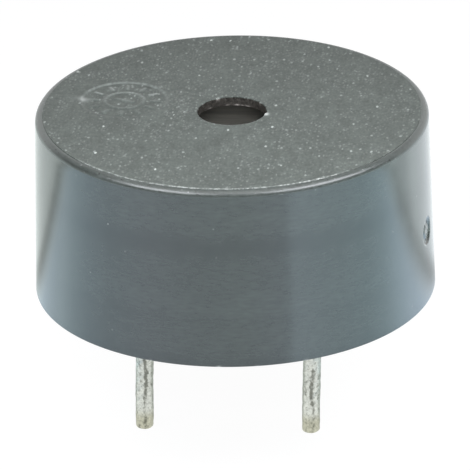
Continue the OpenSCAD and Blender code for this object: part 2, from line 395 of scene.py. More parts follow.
def moulded_wall(name, gloss_range, drawn, contrast, dust_bits):
    """Moulded black PBT off a steel cavity: semi-gloss, with a grainy sheen and stray dust.

    The index of refraction is high: it stands for the skin over the glass fibres. The gloss range is
    in roughness. The grain is drawn out round the case by 1 / drawn. Dust bits are as flecks takes them.
    """
    case = bpy.context.scene.buzzer_case
    material, tree, place = new_material(name)
    # Glass fibres just under the skin lie along the flow round the wall, in clouds of 0.6 and 3 mm
    lines = add(tree, "ShaderNodeMapping", {0: place, "Scale": (drawn, drawn, 1)})
    fibres = uneven(tree, lines, ((0.12, 1 - contrast, 1 + contrast),))
    clouds = uneven(tree, place, ((0.6, 0.95, 1.05), (3.0, 0.94, 1.06)))
    tone = add(tree, "ShaderNodeMath", {0: fibres, 1: clouds}, operation="MULTIPLY")
    # Bands of tone at set heights round the wall, darkest at the foot and about two thirds up: share of the
    # case's height, tone
    height = add(tree, "ShaderNodeSeparateXYZ", {0: place}).outputs[2]
    drift = add(tree, "ShaderNodeTexNoise", {"Vector": place, "Scale": 1 / (2.5 * MM), "Detail": 3.0})
    wavy = add(tree, "ShaderNodeMath", {0: drift, 1: 0.5 * MM, 2: height}, operation="MULTIPLY_ADD")
    share = add(tree, "ShaderNodeMath", {
        0: wavy, 1: 1 / CASE_H, 2: -0.25 * MM / CASE_H}, operation="MULTIPLY_ADD")
    marks = add(tree, "ShaderNodeValToRGB", {0: share}, stops=(
        (0.0, 0.7), (0.05, 0.86), (0.11, 0.94), (0.24, 0.9), (0.26, 0.87), (0.31, 1.0), (0.38, 0.98),
        (0.47, 0.93), (0.59, 0.9), (0.64, 0.79), (0.68, 0.73), (0.73, 0.84), (0.76, 0.95), (0.83, 1.0),
        (0.96, 0.96), (1.0, 0.95)))
    fibrous = add(tree, "ShaderNodeMix", {"Factor": 1.0, 6: colour(case.plastic), 7: tone}, **TINT)
    base = add(tree, "ShaderNodeMix", {"Factor": 1.0, 6: fibrous, 7: marks}, **TINT)
    # Dust specks about 0.08 mm across
    dust = flecks(tree, place, dust_bits, dimensions="3D")
    torn = add(tree, "ShaderNodeAttribute", attribute_name="torn").outputs["Fac"]
    dusty = add(tree, "ShaderNodeMix", {
        "Factor": highest(tree, [dust, torn]), 6: base, 7: colour(case.fleck)}, **COVER)
    # Traces of the mould's polish, 0.12 mm high and drawn out round the wall
    drag = add(tree, "ShaderNodeTexNoise", {"Vector": lines, "Scale": 1 / (0.12 * MM), "Detail": 2.0})
    gloss = add(tree, "ShaderNodeMapRange", {
        0: drag, 1: 0.2, 2: 0.8, 3: gloss_range[0], 4: gloss_range[1]})
    bump = add(tree, "ShaderNodeBump", {"Strength": 0.08, "Distance": 0.01 * MM, "Height": tone})
    shader = add(tree, "ShaderNodeBsdfPrincipled", {
        "Base Color": dusty, "Roughness": gloss, "IOR": 2.3, "Normal": bump})
    add(tree, "ShaderNodeOutputMaterial", {0: shader})
    return material


def moulded_panel():
    """Spark-eroded face of moulded black PBT: matt, mottled, full of pale pinpoint flecks."""
    case = bpy.context.scene.buzzer_case
    material, tree, whole = new_material("moulded_pbt_spark_eroded")
    # The grain lies drawn out from front to back, and its bits are ragged by up to 0.08 mm
    drawn = add(tree, "ShaderNodeMapping", {0: whole, "Scale": (1, 0.58, 1)})
    rag = add(tree, "ShaderNodeTexNoise", {"Vector": drawn, "Scale": 1 / (0.1 * MM), "Detail": 1.0})
    place = add(tree, "ShaderNodeVectorMath", {
        0: rag.outputs["Color"], 1: (0.08 * MM, 0.08 * MM, 0), 2: drawn}, operation="MULTIPLY_ADD")
    # Craters of the eroded mould, about 0.12 mm across, in uneven patches of 0.4 and 1.6 mm
    tone = uneven(tree, place, ((0.12, 0.8, 1.2), (0.4, 0.88, 1.13), (1.6, 0.93, 1.07)))
    base = add(tree, "ShaderNodeMix", {"Factor": 1.0, 6: colour(case.rough_plastic), 7: tone}, **TINT)
    # Flecks and dust of four sizes come in clumps 0.6 mm across, and thickest where dust lies
    dusty = add(tree, "ShaderNodeAttribute", attribute_name="crowd").outputs["Fac"]
    clumps = uneven(tree, place, ((0.6, 0.1, 2.4),))
    crowd = add(tree, "ShaderNodeMath", {0: dusty, 1: clumps}, operation="MULTIPLY")
    pale = highest(tree, [
        flecks(tree, place, bits, crowd)
        for bits in (
            (0.12, 0.36, 0.24, 0.1), (0.2, 0.24, 0.2, 0.2), (0.42, 0.13, 0.19, 0.36), (0.9, 0.06, 0.15, 0.8))
    ])
    # Pale outer edge, broken up in crumbs 0.1 mm across: rubbed wear, and a painted highlight where the lamps
    # catch the edge
    rubbed_and_highlight = add(tree, "ShaderNodeAttribute", attribute_name="rubbed_and_highlight").outputs["Fac"]
    crumbs = add(tree, "ShaderNodeTexNoise", {"Vector": place, "Scale": 1 / (0.1 * MM), "Detail": 1.0})
    broken = add(tree, "ShaderNodeMapRange", {0: crumbs, 1: 0.4, 2: 0.66, 3: 0.1, 4: 0.48})
    edge = add(tree, "ShaderNodeMath", {0: rubbed_and_highlight, 1: broken}, operation="MULTIPLY")
    # The torn attribute also carries the mark's wear and painted highlight
    torn = add(tree, "ShaderNodeAttribute", attribute_name="torn").outputs["Fac"]
    top = add(tree, "ShaderNodeMix", {
        "Factor": highest(tree, [pale, edge, torn]), 6: base, 7: colour(case.fleck)}, **COVER)
    height = add(tree, "ShaderNodeMath", {0: pale, 1: 0.6, 2: tone}, operation="MULTIPLY_ADD")
    bump = add(tree, "ShaderNodeBump", {"Strength": 0.3, "Distance": 0.02 * MM, "Height": height})
    shader = add(tree, "ShaderNodeBsdfPrincipled", {
        "Base Color": top, "Roughness": 0.5, "IOR": 1.5, "Normal": bump})
    add(tree, "ShaderNodeOutputMaterial", {0: shader})
    return material


def moulded_inside():
    """Cored inside of the moulded cup and its hole's wall: rough, and painted darker and browner than the
    outside as shade, where little light falls.
    """
    case = bpy.context.scene.buzzer_case
    material, tree, place = new_material("moulded_pbt_cored")
    # Drag marks of the core, about 0.09 mm across, in patches of 0.4 mm
    tone = uneven(tree, place, ((0.09, 0.5, 1.7), (0.4, 0.8, 1.2)))
    base = add(tree, "ShaderNodeMix", {"Factor": 1.0, 6: colour(case.shaded_hole_plastic), 7: tone}, **TINT)
    # The torn attribute here carries pale flash and the painted glints on the hole wall's lower edge
    torn = add(tree, "ShaderNodeAttribute", attribute_name="torn").outputs["Fac"]
    edge = add(tree, "ShaderNodeMix", {"Factor": torn, 6: base, 7: colour(case.hole_flash_and_glint)}, **COVER)
    bump = add(tree, "ShaderNodeBump", {"Strength": 0.4, "Distance": 0.02 * MM, "Height": tone})
    shader = add(tree, "ShaderNodeBsdfPrincipled", {
        "Base Color": edge, "Roughness": 0.5, "IOR": 1.55, "Normal": bump})
    add(tree, "ShaderNodeOutputMaterial", {0: shader})
    return material


def hot_dip_tin():
    """Hot-dip tinned wire: bright but uneven tin, with dull dark streaks where it is thin, and a painted dark
    reflection down its front.
    """
    pins = bpy.context.scene.buzzer_pins
    material, tree, place = new_material("hot_dip_tinned_wire")
    track = add(tree, "ShaderNodeAttribute", attribute_name="streak_and_reflection").outputs["Fac"]
    # Ragged outline of the streaks, in bits 0.125 mm across and 0.18 mm long
    drawn = add(tree, "ShaderNodeMapping", {0: place, "Scale": (1, 1, 0.6875)})
    ragged = add(tree, "ShaderNodeTexNoise", {
        "Vector": drawn, "Scale": 1 / (0.125 * MM), "Detail": 4.0, "Roughness": 0.65})
    mixed = add(tree, "ShaderNodeMath", {0: ragged, 1: 2.0, 2: track}, operation="MULTIPLY_ADD")
    streak_and_reflection = add(tree, "ShaderNodeMapRange", {
        0: mixed, 1: 1.12, 2: 1.72, 3: 0.0, 4: 0.78}, interpolation_type="SMOOTHSTEP")
    # Fine frosting of the tin, in crystals about 0.12 mm across
    frost = add(tree, "ShaderNodeTexNoise", {
        "Vector": place, "Scale": 1 / (0.12 * MM), "Detail": 3.0, "Roughness": 0.7})
    tip = add(tree, "ShaderNodeAttribute", attribute_name="tip").outputs["Fac"]
    warm = add(tree, "ShaderNodeMix", {"Factor": tip, 6: colour(pins.tin), 7: colour(pins.tip)}, **COVER)
    tone = add(tree, "ShaderNodeMapRange", {0: frost, 1: 0.3, 2: 0.7, 3: 0.62, 4: 1.12})
    tin = add(tree, "ShaderNodeMix", {"Factor": 1.0, 6: warm, 7: tone}, **TINT)
    dull = add(tree, "ShaderNodeMix", {"Factor": streak_and_reflection, 6: tin, 7: colour(pins.streak_and_reflection)}, **COVER)
    gloss = add(tree, "ShaderNodeMapRange", {0: frost, 1: 0.3, 2: 0.7, 3: 0.28, 4: 0.48})
    height = add(tree, "ShaderNodeMath", {0: streak_and_reflection, 1: -0.5, 2: frost}, operation="MULTIPLY_ADD")
    bump = add(tree, "ShaderNodeBump", {"Strength": 0.4, "Distance": 0.012 * MM, "Height": height})
    shader = add(tree, "ShaderNodeBsdfPrincipled", {
        "Base Color": dull, "Metallic": 1.0, "Roughness": gloss, "Normal": bump})
    add(tree, "ShaderNodeOutputMaterial", {0: shader})
    return material


def grained(name, code, grain_mm, contrast, roughness, metallic=0.0, ior=1.5, squeeze=(1, 1, 1), bump=0.2):
    """Even material with one grain: its width in mm, its contrast, gloss and how it is drawn out."""
    material, tree, place = new_material(name)
    drawn = add(tree, "ShaderNodeMapping", {0: place, "Scale": squeeze})
    grain = add(tree, "ShaderNodeTexNoise", {
        "Vector": drawn, "Scale": 1 / (grain_mm * MM), "Detail": 4.0, "Roughness": 0.6})
    tone = add(tree, "ShaderNodeMapRange", {
        0: grain, 1: 0.3, 2: 0.7, 3: 1 - contrast, 4: 1 + contrast})
    base = add(tree, "ShaderNodeMix", {"Factor": 1.0, 6: linear(code), 7: tone}, **TINT)
    gloss = add(tree, "ShaderNodeMapRange", {
        0: grain, 1: 0.3, 2: 0.7, 3: roughness * 0.85, 4: roughness * 1.15})
    raised = add(tree, "ShaderNodeBump", {
        "Strength": bump, "Distance": grain_mm * MM * 0.15, "Height": grain})
    shader = add(tree, "ShaderNodeBsdfPrincipled", {
        "Base Color": base, "Metallic": metallic, "Roughness": gloss, "IOR": ior, "Normal": raised})
    add(tree, "ShaderNodeOutputMaterial", {0: shader})
    return material


def case_profile(case):
    """Closed half section of the cup, radius and height for each row, with each row's finish.

    It runs up the hole's wall, out over the panel, down the drafted outer wall, and back inside
    over the mouth, the bore, the ledge, the front chamber and the thinned ring.
    """
    top, web_z = CASE_H, CASE_H - WEB_T
    rim_z = top - case.panel_h
    step, lip = case.step_r, case.port_edge_r
    draft = math.atan(case.wall_draft / CASE_H)
    panel_r = CASE_R - case.wall_draft - case.rim_w
    edge_z = rim_z - case.edge_r
    edge_x = CASE_R - edge_z * math.tan(draft) - case.edge_r / math.cos(draft)
    wall_top = (edge_x + case.edge_r * math.cos(draft), edge_z + case.edge_r * math.sin(draft))
    mouth_r = CASE_R - case.wall_t
    mouth_low_r = mouth_r + case.mouth_bevel
    foot_x = CASE_R - case.foot_r
    seat_z = BASE_Z + SEAT_T
    bore_r = plate_high.x + case.plate_gap
    ledge_z = glue_high.z
    chamber_r = plate_high.x - LEDGE_W
    chamber_z = top - case.lid_t
    corner_r, corner_z = chamber_r - case.corner_bevel, chamber_z - case.corner_bevel
    relief_r = PORT_R + case.relief_w
    # Rows lie closer round the hole, over the mark, along the panel edge's pale line of wear and painted
    # highlight, at the gate and at the foot
    flash_r = PORT_R + 0.4 * MM
    mark_span = case.mark_r + 0.1 * MM
    mark_at = math.hypot(case.mark_x, case.mark_y)
    mark_near, mark_far = mark_at - mark_span, mark_at + mark_span
    pale_line_r = panel_r - step - case.pale_line_w * 1.5
    gate_low, gate_high = case.gate_z - case.gate_r * 1.15, case.gate_z + case.gate_r * 1.15
    foot_z = 0.12 * MM

    def wall(z):
        return (CASE_R - z * math.tan(draft), z)

    parts = [
        (INSIDE, stretch((PORT_R, web_z), (PORT_R, top - lip), 10)),
        (PANEL, arc((PORT_R + lip, top - lip), lip, 180, 90, 4)),
        (PANEL, stretch((PORT_R + lip, top), (flash_r, top), 8)),
        (PANEL, stretch((flash_r, top), (mark_near, top), 5)),
        (PANEL, stretch((mark_near, top), (mark_far, top), 64)),
        (PANEL, stretch((mark_far, top), (pale_line_r, top), 3)),
        (PANEL, stretch((pale_line_r, top), (panel_r - step, top), 6)),
        (PANEL, arc((panel_r - step, top - step), step, 90, 0, 5)),
        (EDGE, stretch((panel_r, top - step), (panel_r, rim_z), 1)),
        (EDGE, stretch((panel_r, rim_z), (edge_x, rim_z), 3)),
        (EDGE, arc((edge_x, edge_z), case.edge_r, 90, math.degrees(draft), 12)),
        (WALL, stretch(wall_top, wall(gate_high), 12)),
        (WALL, stretch(wall(gate_high), wall(gate_low), 28)),
        (WALL, stretch(wall(gate_low), wall(foot_z), 6)),
        (WALL, stretch(wall(foot_z), wall(case.foot_r), 3)),
        (WALL, arc((foot_x, case.foot_r), case.foot_r, 0, -90, 3)),
        (WALL, stretch((foot_x, 0), (mouth_low_r, 0), 2)),
        (INSIDE, stretch((mouth_low_r, 0), (mouth_r, case.mouth_bevel), 1)),
        (INSIDE, stretch((mouth_r, case.mouth_bevel), (mouth_r, seat_z), 3)),
        (INSIDE, stretch((mouth_r, seat_z), (bore_r, seat_z), 1)),
        (INSIDE, stretch((bore_r, seat_z), (bore_r, ledge_z), 2)),
        (INSIDE, stretch((bore_r, ledge_z), (chamber_r, ledge_z), 1)),
        (INSIDE, stretch((chamber_r, ledge_z), (chamber_r, corner_z), 1)),
        (INSIDE, stretch((chamber_r, corner_z), (corner_r, chamber_z), 1)),
        (INSIDE, stretch((corner_r, chamber_z), (relief_r, chamber_z), 2)),
        (INSIDE, stretch((relief_r, chamber_z), (relief_r, web_z), 1)),
        (INSIDE, stretch((relief_r, web_z), (PORT_R, web_z), 2)),
    ]
    outline = np.vstack([points for _, points in parts])
    finish = np.concatenate([np.full(len(points), slot) for slot, points in parts])
    return outline[:, 0], outline[:, 1], finish


def case_angles(case, count):
    """Angles round the axis, closer together at the gate and at the mark.

    Their spacing is the inverse of a density: 1, plus a bell curve at each of the two places.
    """
    even = np.linspace(-np.pi, np.pi, 4001)
    mark_turn = math.atan2(case.mark_y, case.mark_x)
    density = 1 + 1.6 * near(turn_from(even, case.gate_turn), 0.09)
    density += 0.8 * near(turn_from(even, mark_turn), 0.3)
    reached = np.concatenate([[0], np.cumsum((density[1:] + density[:-1]) / 2)])
    return np.interp(np.linspace(0, reached[-1], count, endpoint=False), reached, even)


def mark_relief(case, x, y):
    """Depth under the panel of a generic moulding date dial: a sunk disc with raised strokes.

    The disc's depth falls in over a narrow wall. Twelve strokes stand like hour marks, each a bell
    curve across its angle. A ring stands inside them, with a straight pointer across its middle.
    The second result is how pale the strokes and the rim are: worn in broken lengths, with a
    painted highlight that makes them palest at the back, and one pale smear at the left.
    """
    across, back = x - case.mark_x, y - case.mark_y
    reach, around = np.hypot(across, back), np.arctan2(back, across)
    disc = 1 - smooth(case.mark_r - 0.1 * MM, case.mark_r, reach)
    sector = turn_from(around * 12, 0.0) / 12
    strokes = near(sector * reach, 0.07 * MM) * smooth(1.12 * MM, 1.18 * MM, reach)
    strokes *= 1 - smooth(1.56 * MM, 1.62 * MM, reach)
    ring = near(reach - 0.84 * MM, 0.07 * MM)
    pointer = near(across * 0.4 + back * 0.917, 0.08 * MM) * (1 - smooth(0.42 * MM, 0.5 * MM, reach))
    raised = np.maximum(np.maximum(strokes, ring), pointer) * disc
    broken = 0.45 + 0.55 * np.abs(ripple(around, (7, 13, 22, 31), 21))
    # Painted highlight: the rim and the strokes grow paler towards the back
    rim = near(reach - case.mark_r + 0.05 * MM, 0.06 * MM) * smooth(-0.9, 0.7, back / case.mark_r)
    worn_and_highlight = 0.34 * raised * broken * (0.4 + 0.6 * smooth(-0.3, 0.5, back / case.mark_r))
    worn_and_highlight += 0.24 * rim * broken + 0.4 * near(np.hypot(across + 1.8 * MM, back), 0.22 * MM)
    return case.mark_depth * disc * (1 - 0.85 * raised), worn_and_highlight


def gate_relief(case, along, up):
    """Depth under the wall of the gate's dimple: a flat pit with a torn stub standing in it."""
    reach, around = np.hypot(along, up), np.arctan2(up, along)
    pit = 1 - smooth(case.gate_r - 0.1 * MM, case.gate_r + 0.02 * MM, reach)
    edge = case.stub_r * (1 + 0.12 * ripple(around, (2, 3, 5), 5))
    stub = 1 - smooth(edge - 0.05 * MM, edge + 0.05 * MM, reach)
    torn = 0.015 * MM * ripple(around, (1, 3, 4, 7), 6) * near(reach - 0.15 * MM, 0.12 * MM)
    return pit * (case.gate_depth - stub * (case.gate_depth - case.stub_under) + torn)


def hole_edge(case, r, z, a):
    """Tears the hole's edges: the new radius, and how pale each place is, painted glints included.

    At the upper edge, by a bell curve, one ripple round the axis pushes flash into the hole and
    another chips it away, both most of all at the far side.
    """
    top_edge = near(np.maximum(r - PORT_R, 0), 0.07 * MM) * near(CASE_H - z, 0.12 * MM)
    far_side = 0.4 + 0.6 * smooth(-0.2, 0.5, np.sin(a))
    flash = np.abs(ripple(a, (13, 22, 37, 53, 71, 98), 11)) * smooth(-0.5, 0.4, ripple(a, (5, 9, 14), 12))
    chipped = smooth(0.1, 0.7, ripple(a, (17, 29, 41, 58, 83), 14))
    patches = smooth(0.05, 0.5, ripple(a, (7, 12, 19), 13))
    r = r - case.jag * far_side * flash * top_edge
    r += case.jag * far_side * chipped * top_edge
    torn = top_edge * far_side * smooth(0.25, 0.7, flash) * patches * 0.8
    # The large burr is a pale curl outside the edge, with a bite out of the edge beside it
    aside = turn_from(a, case.burr_turn) * PORT_R
    burr = near(aside, case.burr_w)
    r += case.bite * near(aside - 0.26 * MM, 0.09 * MM) * top_edge
    r -= 0.5 * case.bite * burr * top_edge
    torn = np.maximum(torn, burr * near(r - PORT_R - 0.05 * MM, 0.1 * MM) * (z > CASE_H - 0.1 * MM))
    # Painted glints, broken into bits, on the lower edge of the hole's wall: place and spread in degrees,
    # paleness
    low_edge_glint = near(z - (CASE_H - WEB_T), 0.045 * MM) * near(r - PORT_R, 0.05 * MM)
    for place, spread, pale in ((87, 3.5, 1.0), (78, 2, 0.5), (68, 4, 0.55), (103, 3, 0.45), (135, 3, 0.5)):
        torn = np.maximum(torn, low_edge_glint * pale * near_turn(a, place, spread))
    return r, torn


class BUZZER_OT_case(bpy.types.Operator):
    """Models the moulded case, with its torn hole edge, gate dimple and insert mark"""

    bl_idname = "buzzer.case"
    bl_label = "Case"

    def execute(self, context):
        case = context.scene.buzzer_case
        radius, height, finish = case_profile(case)
        r, z, a = round_grid(radius, height, case_angles(case, CASE_COLUMNS))
        r, torn = hole_edge(case, r, z, a)

        # Bits of flash on the lower outer edge: place and spread in degrees, paleness
        foot = near(z, 0.05 * MM) * (r > CASE_R - 0.1 * MM)
        for place, spread, pale in ((-89, 0.6, 0.7), (-109, 0.4, 0.5), (-64, 0.5, 0.6), (-78, 0.4, 0.35)):
            torn = np.maximum(torn, pale * near_turn(a, place, spread) * foot)

        panel = (finish == PANEL)[:, None] & (r > PORT_R + 0.1 * MM)
        relief, worn_and_highlight = mark_relief(case, r * np.cos(a), r * np.sin(a))
        z -= np.where(panel, relief, 0)
        # The mark's wear and painted highlight go into the torn attribute
        torn = np.maximum(torn, np.where(panel, worn_and_highlight, 0))
        wall = (finish == WALL)[:, None] & (r > CASE_R - case.wall_draft)
        wall &= z < CASE_H - case.panel_h - case.edge_r
        along = turn_from(a, case.gate_turn) * r
        r -= np.where(wall, gate_relief(case, along, z - case.gate_z), 0)

        finishes = [
            moulded_wall("moulded_pbt_polished", (0.09, 0.17), 0.25, 0.12, (0.8, 0.05, 0.5, 0.3)),
            moulded_panel(),
            moulded_inside(),
            moulded_wall("moulded_pbt_satin", (0.25, 0.44), 1.0, 0.3, (0.22, 0.2, 0.35, 0.3)),
        ]
        piece = mesh_object("case_moulding", round_points(r, z, a), True, finishes, finish)

        # The panel's edge is paler towards the front: rubbed where the front was handled, and a painted
        # highlight, strongest 25 degrees round from the front, where the lamps catch it. Degrees from the
        # front
        line_r = CASE_R - case.wall_draft - case.rim_w - case.step_r
        front = np.degrees(turn_from(a, math.radians(-84)))
        rubbed_and_highlight = smooth(line_r - case.pale_line_w, line_r, r)
        rubbed_and_highlight *= smooth(-58, -46, front) * (1 - smooth(28, 42, front)) * (1 + 0.6 * near(front - 25, 9))
        # Dust lies thickest on the hole's left and at the back: place and reach in mm, how much more
        crowd = np.full_like(r, 0.85)
        for x, y, reach, more in ((-2.4, 0.9, 1.5, 1.4), (1.5, 5.5, 2.5, 0.3)):
            crowd += more * near(np.hypot(r * np.cos(a) - x * MM, r * np.sin(a) - y * MM), reach * MM)
        point_values(piece, "torn", torn)
        point_values(piece, "rubbed_and_highlight", rubbed_and_highlight * (z > CASE_H - case.panel_h * 0.99))
        point_values(piece, "crowd", crowd)
        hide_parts("case")
        return {"FINISHED"}


def pin_profile(pins):
    """Half section of a pin from its head down: head, collar, shank, free wire and rounded tip."""
    tip, collar_z, shank = PIN_TIP_Z, BOSS_Z, pins.shank_r
    collar_top = collar_z + pins.collar_t
    cone_z = pins.shank_z - (shank - PIN_R)
    parts = [
        np.array([(PIN_R * 0.5, HEAD_Z)]),
        stretch((PIN_R, HEAD_Z), (PIN_R, collar_top), 3),
        stretch((PIN_R, collar_top), (COLLAR_R, collar_top), 2),
        stretch((COLLAR_R, collar_top), (COLLAR_R, collar_z), 2),
        stretch((COLLAR_R, collar_z), (shank, collar_z), 2),
        stretch((shank, collar_z), (shank, pins.shank_z), 8),
        stretch((shank, pins.shank_z), (PIN_R, cone_z), 2),
        stretch((PIN_R, cone_z), (PIN_R, tip + pins.bevel), 150),
        arc((PIN_R - pins.bevel, tip + pins.bevel), pins.bevel, 0, -80, 7),
        stretch((PIN_R - pins.bevel, tip + 0.003 * MM), (PIN_R * 0.25, tip), 4),
    ]
    outline = np.vstack(parts)
    return outline[:, 0], outline[:, 1]


class BUZZER_OT_pins(bpy.types.Operator):
    """Models both tinned pins, leaning a little to the left as they were bent in handling"""

    bl_idname = "buzzer.pins"
    bl_label = "Pins"

    def execute(self, context):
        pins = context.scene.buzzer_pins
        tin = hot_dip_tin()
        self.wire("left_pin", -PIN_X, pins.left_lean, pins.left_reflection_streak, pins.left_dull_z, 21, pins, tin)
        self.wire("right_pin", PIN_X, pins.right_lean, pins.right_reflection_streak, pins.right_dull_z, 22, pins, tin)
        return {"FINISHED"}

    def wire(self, name, centre, tip_lean, reflection_streak_turn, dull_z, seed, pins, tin):
        """One pin: a round profile with lumpy tin, whose axis leans as 1 less e to the minus its depth."""
        radius, height = pin_profile(pins)
        r, z, a = round_grid(radius, height, np.linspace(0, 2 * np.pi, PIN_COLUMNS, endpoint=False))
        free = 1 - smooth(-0.4 * MM, 0, z)
        waves = ripple(a + z / (0.9 * MM), (1, 2, 3), seed) + ripple(a - z / (0.35 * MM), (2, 4, 5), seed + 5)
        r -= pins.lump * free * (0.5 + 0.5 * waves) * smooth(0, PIN_R * 0.6, r)
        # The bend starts at the base plate and straightens out, by e in 0.4 of the free length
        bend = 0.4
        share = np.clip(z / PIN_TIP_Z, 0, 1)
        lean = -tip_lean * (1 - np.exp(-share / bend)) / (1 - math.exp(-1 / bend))
        piece = mesh_object(name + "_wire", round_points(r, z, a, centre + lean), False, [tin])
        # Streaks run down the front and both back quarters, each wandering a little. The main one, down
        # the front, is a dull streak and a painted dark reflection. Place in degrees, width in radians, depth
        wander = 0.15 * ripple(z / (1.1 * MM), (1, 2, 3), seed + 9)
        main = math.degrees(reflection_streak_turn)
        streak_and_reflection = sum(
            depth * near(turn_from(a, math.radians(place)) - wander, width)
            for place, width, depth in (
                (main, 0.26, 0.6), (main - 42, 0.3, 0.28), (main + 45, 0.3, 0.22),
                (48, 0.3, 0.6), (150, 0.3, 0.6))
        )
        patches = 0.15 * ripple(z / (0.6 * MM), (1, 2), seed + 13)
        point_values(piece, "streak_and_reflection", streak_and_reflection * (0.8 + 0.45 * near(z - dull_z, 0.75 * MM) + patches))
        point_values(piece, "tip", 1 - smooth(0.5 * MM, 1.1 * MM, z - PIN_TIP_Z))
        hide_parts(name)


class BUZZER_OT_seals(bpy.types.Operator):
    """Models the cured epoxy round the base plate and round both pins, with a liquid's soft edges"""

    bl_idname = "buzzer.seals"
    bl_label = "Epoxy seals"

    def execute(self, context):
        seals = context.scene.buzzer_seals
        # Cured casting epoxy: black, glossy, with a slight orange peel
        epoxy = grained("cured_black_epoxy", "#1d1e1c", 0.6, 0.08, 0.16, bump=0.15)
        self.ring("rim_seal", 0.0, seal_high.x, SEAL_INNER_R, seal_low.z, epoxy, RIM_COLUMNS, seals)
        for name, centre in (("left_pin_seal", -PIN_X), ("right_pin_seal", PIN_X)):
            self.ring(name, centre, context.scene.buzzer_pins.shank_r + seals.film_gap,
                      (drop_high.x - drop_low.x) / 2, drop_low.z, epoxy, PIN_COLUMNS, seals)
        return {"FINISHED"}

    def ring(self, name, centre, wall_r, thin_r, low_z, epoxy, columns, seals):
        """Ring with three sides: flat on the base plate, upright on the wall, hollow between them."""
        angles = np.linspace(0, 2 * np.pi, columns, endpoint=False)
        wander = seals.wave * (0.5 + 0.5 * ripple(angles, (2, 3, 5, 8, 13), 31))
        thin = thin_r + np.sign(wall_r - thin_r) * wander
        flat = np.linspace(0, 1, 3, endpoint=False)[:, None]
        slope = np.linspace(0, 1, 14, endpoint=False)[:, None]
        sag = 4 * seals.hollow * slope * (1 - slope)
        # Radius and height of the three sides, in order round the section
        sides = (
            (thin + (wall_r - thin) * flat, BASE_Z),
            (wall_r, BASE_Z + (low_z - BASE_Z) * flat),
            (wall_r + (thin - wall_r) * slope, low_z + (BASE_Z - low_z) * slope + sag),
        )
        grids = [np.broadcast_arrays(side_r, side_z, angles) for side_r, side_z in sides]
        r, z, a = (np.vstack(rows) for rows in zip(*grids))
        if wall_r < thin_r:
            r, z, a = r[::-1], z[::-1], a[::-1]
        piece = mesh_object(name + "_epoxy", round_points(r, z, a, centre), True, [epoxy])
        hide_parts(name)


class BUZZER_OT_finishes(bpy.types.Operator):
    """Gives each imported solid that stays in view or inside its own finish"""

    bl_idname = "buzzer.finishes"
    bl_label = "Base and inner finishes"

    def execute(self, context):
        # Solder frozen bright, with a faint skin of flux
        solder = grained("frozen_solder", "#b4b6b8", 0.25, 0.08, 0.28, metallic=1.0)
        # Enamelled copper wire: warm lacquer over metal
        copper = grained("enamelled_copper", "#b8744a", 0.2, 0.08, 0.3, metallic=0.8)
        finishes = {
            # Moulded black PBT straight from a matt mould
            "base_plate": grained("moulded_pbt_matt", "#3a3d3d", 0.15, 0.14, 0.5, bump=0.3),
            # Brass sheet, dull with tarnish and flux, drawn out along the rolling direction. Its pale colour
            # is painted light, which lifts the dim inside seen through the hole
            "brass_plate": grained(
                "brass_painted_pale", "#dedacd", 0.2, 0.12, 0.6, metallic=0.15, squeeze=(0.08, 1, 1)),
            # Fired lead zirconate: matt, cream, slightly spotted
            "ceramic_disc": grained("fired_piezo_ceramic", "#d8cfae", 0.12, 0.06, 0.75),
            # Screen-printed silver: satin, with the mesh's fine print
            "silver_electrode": grained("fired_silver", "#cfcdc8", 0.1, 0.08, 0.4, metallic=1.0),
            # Cured silicone: soft, milky and smooth
            "diaphragm_glue": grained("cured_silicone", "#d6d3ca", 0.5, 0.04, 0.35, ior=1.41),
            **dict.fromkeys(("brass_joint", "silver_joint", "left_pin_joint", "right_pin_joint"), solder),
            **dict.fromkeys(("brass_lead", "silver_lead"), copper),
        }
        for name, material in finishes.items():
            materials = frame["nodes"][name].data.materials
            materials.clear()
            materials.append(material)
        return {"FINISHED"}


